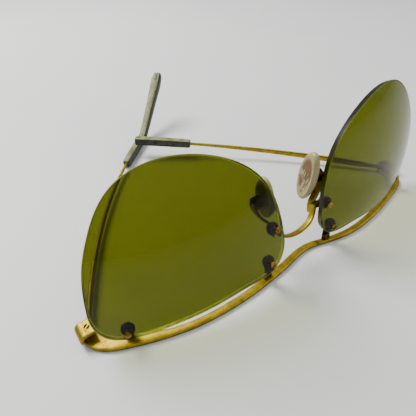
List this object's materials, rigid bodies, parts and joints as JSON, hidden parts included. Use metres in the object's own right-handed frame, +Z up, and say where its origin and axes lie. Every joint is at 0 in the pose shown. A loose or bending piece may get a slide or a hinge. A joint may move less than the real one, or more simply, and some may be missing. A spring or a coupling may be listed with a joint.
{
  "type": "sunglasses",
  "caption": "Vintage aviator sunglasses with olive glass lenses screwed to a flat gold brow bar, half folded and lying upside down; hinged temples and rocking nose pads.",
  "frame": {"origin": "on the table, under the middle of the whole object as it lies", "axes": "+Z up from the table (the glasses lie upside down, so +Z points towards the wearer's cheeks), +Y from the lens fronts towards the temple tips, +X along the brow bar from the wearer's left to right as the picture shows it"},
  "size_m": [0.1264, 0.12, 0.0431],
  "materials": {
    "gold": "worn gold filled metal",
    "screw": "worn gold filled metal",
    "glass": "polished tinted glass",
    "pad": "aged cellulose",
    "sleeve": "aged mottled cellulose"
  },
  "bodies": {
    "front": {"brow_bar": "gold", "nose_bridge": "gold", "endpiece_left": "gold", "hinge_screw_left": "screw", "lens_left": "glass", "strap_bar_left": "gold", "screw_bar_left": "screw", "nut_bar_left": "screw", "strap_end_left": "gold", "screw_end_left": "screw", "nut_end_left": "screw", "strap_nose_left": "gold", "screw_nose_left": "screw", "nut_nose_left": "screw", "pad_arm_left": "gold", "pad_box_left": "gold", "pad_pin_left": "gold", "endpiece_right": "gold", "hinge_screw_right": "screw", "lens_right": "glass", "strap_bar_right": "gold", "screw_bar_right": "screw", "nut_bar_right": "screw", "strap_end_right": "gold", "screw_end_right": "screw", "nut_end_right": "screw", "strap_nose_right": "gold", "screw_nose_right": "screw", "nut_nose_right": "screw", "pad_arm_right": "gold", "pad_box_right": "gold", "pad_pin_right": "gold"},
    "temple_left_arm": {"temple_left": "gold", "sleeve_left": "sleeve"},
    "pad_left": {"nose_pad_left": "pad", "pad_lug_left": "gold"},
    "temple_right_arm": {"temple_right": "gold", "sleeve_right": "sleeve"},
    "pad_right": {"nose_pad_right": "pad", "pad_lug_right": "gold"}
  },
  "joints": [
    {"name": "temple_left_hinge", "type": "hinge", "parent": "front", "child": "temple_left_arm", "pos_m": [-0.06033, -0.04446, 0.0019], "axis": [0, 0, -1], "range_deg": [-34.5, 26]},
    {"name": "temple_right_hinge", "type": "hinge", "parent": "front", "child": "temple_right_arm", "pos_m": [0.06029, -0.0434, 0.0019], "axis": [0, 0, 1], "range_deg": [-44.1, 39.9]},
    {"name": "pad_left_rock", "type": "hinge", "parent": "front", "child": "pad_left", "pos_m": [-0.00829, -0.04699, 0.02004], "axis": [-0.1921, -0.206, 0.9595], "range_deg": [-6, 6]},
    {"name": "pad_right_rock", "type": "hinge", "parent": "front", "child": "pad_right", "pos_m": [0.01008, -0.05002, 0.02252], "axis": [0.0271, -0.1764, 0.9839], "range_deg": [-6, 6]}
  ]
}
